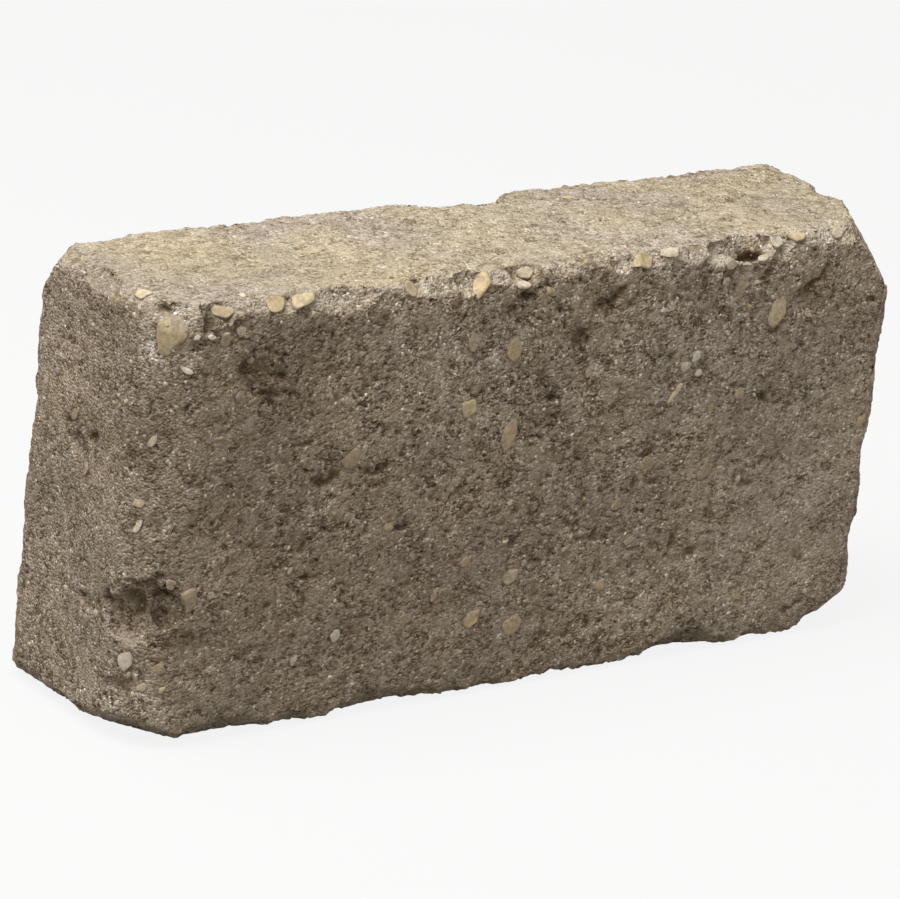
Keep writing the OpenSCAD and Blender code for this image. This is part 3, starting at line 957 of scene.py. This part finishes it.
concrete, tree = new_material("dry_pressed_concrete")
mm = in_mm(tree)
facts = {name: add(tree, "ShaderNodeAttribute", out=2, attribute_name=name)
         for name in ("hollow", "worn", "upward", "rough", "crumb", "tone", "calm")}
clouds = add(tree, "ShaderNodeTexNoise", {
    "Vector": mm, "Scale": 1 / CLOUD_SIZE, "Detail": 3.0})
side_colour = ramp(tree, clouds, {0.32: "#ad9f8d", 0.5: "#b6a793", 0.68: "#c0b099"})
# The top is painted paler than the sides: partly its own colour, partly painted light from the
# lamp overhead.
top_colour_and_painted_light = ramp(tree, clouds, {0.32: "#baae9e", 0.5: "#c1b49d", 0.68: "#cbbb9d"})
faces_up = add(tree, "ShaderNodeMapRange", {0: facts["upward"], 1: 0.55, 2: 0.95})
is_top = add(tree, "ShaderNodeMath", operation="MULTIPLY", inputs={
    0: faces_up, 1: add(tree, "ShaderNodeMapRange", {0: facts["worn"], 3: 1.0, 4: 0.3})})
calmer_top = add(tree, "ShaderNodeMapRange", {0: is_top, 3: 1.0, 4: 0.65})
body = add(tree, "ShaderNodeMix", {0: is_top, 6: side_colour, 7: top_colour_and_painted_light}, out=2,
           data_type="RGBA")

# %% Concrete material: mottle and sand
# Where the mix was rich the paste closed over the sand and the surface is calm; in
# between it is open. Both the relief's own roughness and a 9 mm noise decide which.
mottle = blotches(tree, mm, MOTTLE_SIZE, 0.3, 0.7, 0.84, 1.15, Detail=4.0, Roughness=0.6)
lump_warp = add(tree, "ShaderNodeTexNoise", {"Vector": mm, "Scale": 1 / LUMP_WARP}, out=1)
lump_cells = add(tree, "ShaderNodeTexVoronoi", out=1, inputs={
    "Vector": add(tree, "ShaderNodeVectorMath", {0: lump_warp, 1: (LUMP_REACH,) * 3,
                                                 2: mm}, operation="MULTIPLY_ADD"),
    "Scale": 1 / LUMP_SIZE})
lumps = add(tree, "ShaderNodeMapRange", {
    0: add(tree, "ShaderNodeSeparateColor", {0: lump_cells}), 3: 0.89, 4: 1.11})
patches = blotches(tree, mm, PATCH_SIZE, 0.40, 0.60, 0.40, soft=True, Detail=4.0, Roughness=0.65)
openness = add(tree, "ShaderNodeMath", {0: patches, 1: facts["rough"]},
               operation="MAXIMUM", use_clamp=True)
openness = add(tree, "ShaderNodeMath", {0: openness, 1: calmer_top}, operation="MULTIPLY")
sand_cells = add(tree, "ShaderNodeTexVoronoi", {
    "Vector": mm, "Scale": 1 / SAND_SIZE}).node.outputs
sand_luck = add(tree, "ShaderNodeSeparateColor", {0: sand_cells["Color"]}).node.outputs
sand = add(tree, "ShaderNodeMapRange", {0: sand_luck[0], 3: 0.42, 4: 1.5})
sand = add(tree, "ShaderNodeMix", {0: openness, 2: 1.0, 3: sand})
bright = add(tree, "ShaderNodeMapRange", {
    0: sand_luck[1], 1: 0.92, 2: 0.95, 3: 1.0,
    4: add(tree, "ShaderNodeMapRange", {0: is_top, 3: 1.9, 4: 1.25})})

# %% Concrete material: painted shade of pores and cracks, and drag marks
# The mix was pushed sideways as it was rammed, so its pores lie level, about twice
# as long as they are high. Drag marks run along the top and up the sides.
LAID = (0.5, 0.75, 1.0)
DRAG_ALONG, DRAG_UP = (1 / 8, 1 / 0.9, 0.2), (1 / 1.3, 1 / 1.3, 1 / 9)

laid, drag_along, drag_up = (
    add(tree, "ShaderNodeVectorMath", {0: mm, 1: stretch}, operation="MULTIPLY")
    for stretch in (LAID, DRAG_ALONG, DRAG_UP))
# Pores and cracks below darken the colour: painted shade, in place of the shade inside them.
pore_shade = blotches(tree, laid, PORE_SIZE, 0.38, 0.46, 0.25, Detail=3.0, Roughness=0.65)
pore_shade = add(tree, "ShaderNodeMix", {0: openness, 2: 1.0, 3: pore_shade})
crack_wave = add(tree, "ShaderNodeTexNoise", {
    "Vector": laid, "Scale": 1 / CRACK_SIZE, "Detail": 4.0, "Roughness": 0.6})
crack_line = add(tree, "ShaderNodeMath", operation="ABSOLUTE", inputs={
    0: add(tree, "ShaderNodeMath", {0: crack_wave, 1: 0.5}, operation="SUBTRACT")})
crack_shade = add(tree, "ShaderNodeMapRange", {
    0: crack_line, 1: 0.008, 2: 0.024, 3: 0.26, 4: 1.0})
crack_patch = blotches(tree, mm, CRACK_PATCH, 0.44, 0.55, most=calmer_top, soft=True)
crack_shade = add(tree, "ShaderNodeMix", {0: crack_patch, 2: 1.0, 3: crack_shade})
drag = add(tree, "ShaderNodeMix", {0: is_top, 4: drag_up, 5: drag_along}, out=1,
           data_type="VECTOR")
drag = blotches(tree, drag, 1.0, 0.32, 0.66, 0.88, 1.09)

# %% Concrete material: browner where it is darker
# Light that reaches a pore has bounced off its brown walls first, and the rubbed-off
# grains on top are nearly grey. A power for each channel does both at once: below 1
# blue falls fastest, and above 1 it rises fastest.
BROWNING = (0.88, 1.0, 1.18)  # red, green, blue


def shaded(tree, colour, patterns, contrast=1.0):
    """Colour times all the patterns, browner where they are dark, greyer where pale."""
    product = patterns[0]
    for pattern in patterns[1:]:
        product = add(tree, "ShaderNodeMath", {0: product, 1: pattern}, operation="MULTIPLY")
    product = add(tree, "ShaderNodeMath", {0: product, 1: contrast}, operation="POWER")
    tint = add(tree, "ShaderNodeCombineColor", {
        channel: add(tree, "ShaderNodeMath", {0: product, 1: power}, operation="POWER")
        for channel, power in enumerate(BROWNING)})
    return add(tree, "ShaderNodeMix", {0: 1.0, 6: colour, 7: tint}, out=2,
               data_type="RGBA", blend_type="MULTIPLY")


contrast = add(tree, "ShaderNodeMapRange", {0: facts["calm"], 3: 1.12, 4: 0.72})
body = shaded(tree, body, (mottle, lumps, sand, bright, pore_shade, crack_shade, drag), contrast)

# %% Concrete material: bruised edges, dirt and tone, with painted light and shade
BRUISED = srgb("#d6cbb8")

bruise_noise = blotches(tree, mm, BRUISE_SIZE, 0.42, 0.58, Detail=4.0, Roughness=0.7)
# Worn paste is whiter where it faces up: its worn colour, and painted light.
rubbed_and_painted_light = add(tree, "ShaderNodeMath", operation="MULTIPLY", inputs={
    0: add(tree, "ShaderNodeMapRange", {0: facts["worn"], 1: 0.35, 2: 0.9, 4: 0.9}),
    1: add(tree, "ShaderNodeMapRange", {0: facts["upward"], 2: 0.5, 3: 0.35})})
# Paste turns whitish where the tone is above 1: broken paste, partly painted light on rubble that
# faces up.
broken = add(tree, "ShaderNodeMapRange", {0: facts["tone"], 1: 0.95, 2: 1.3, 4: 0.9})
bruise_and_painted_light = add(tree, "ShaderNodeMath", operation="MULTIPLY", use_clamp=True, inputs={
    0: bruise_noise,
    1: add(tree, "ShaderNodeMath", {0: rubbed_and_painted_light, 1: broken}, operation="MAXIMUM")})
crumb_colour = ramp(tree, facts["crumb"], {
    0.0: "#8f8271", 0.5: "#b8a68d", 0.8: "#d9c69f", 1.0: "#e9dfcb"})
crumb_shows = add(tree, "ShaderNodeMapRange", {
    0: facts["rough"], 1: 0.75, 2: 1.4, 4: 0.55})
for amount, colour in ((bruise_and_painted_light, BRUISED), (crumb_shows, crumb_colour)):
    body = add(tree, "ShaderNodeMix", {0: amount, 6: body, 7: colour}, out=2, data_type="RGBA")
# Darker in hollows: dirt, and painted shade in pores, gaps and hollows.
dirt_and_painted_shade = add(tree, "ShaderNodeMapRange", {
    0: facts["hollow"], 1: 0.25, 2: 1.3, 3: 1.0,
    4: add(tree, "ShaderNodeMapRange", {0: facts["tone"], 3: 0.38, 4: 0.85})})
# Darker or paler by the tone spots: partly real stains, partly painted shade in cavities and
# painted light on rubble that faces up.
stain_and_painted_light = add(tree, "ShaderNodeMapRange", {
    0: facts["tone"], 1: TONE_RANGE[0], 2: TONE_RANGE[1], 3: 0.62, 4: 1.57})
body = shaded(tree, body, (dirt_and_painted_shade, stain_and_painted_light))

# %% Concrete material: sand in the light
grains = add(tree, "ShaderNodeTexNoise", {
    "Vector": mm, "Scale": 1 / SAND_SIZE, "Detail": 3.0, "Roughness": 0.6})
height = add(tree, "ShaderNodeMath", {0: grains, 1: sand_cells["Distance"]},
             operation="SUBTRACT")
bump = add(tree, "ShaderNodeBump", {"Strength": 1.0, "Distance": 0.7 * MM, "Height": height})
add(tree, "ShaderNodeOutputMaterial", {0: add(tree, "ShaderNodeBsdfPrincipled", {
    "Base Color": body, "Roughness": 0.93, "IOR": 1.5, "Normal": bump})})
print("materials:", gravel.name, "and", concrete.name)

# %% [markdown]
# ## Put the pieces on the frame
# The skin takes the place of the CAD node, which stays hidden. The stones are
# part of the same casting, so all three pieces ride on the one body. The block stands
# on a level floor, so what would reach below it is pressed up to it.

# %% Hand the pieces over
carrier = show("carrier", block.data.copy())
run_tree(carrier, grit, {**GRIT, "Finish": gravel})
small_stones = finished(carrier, "small_stones")
for piece, finish in ((block, concrete), (named_stones, gravel), (small_stones, gravel)):
    piece.data.materials.clear()
    piece.data.materials.append(finish)
    for vert in piece.data.vertices:
        vert.co.z = max(vert.co.z, 0.0)
    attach(piece, "root")
    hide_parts("block")
    print(piece.name, len(piece.data.polygons), "faces")
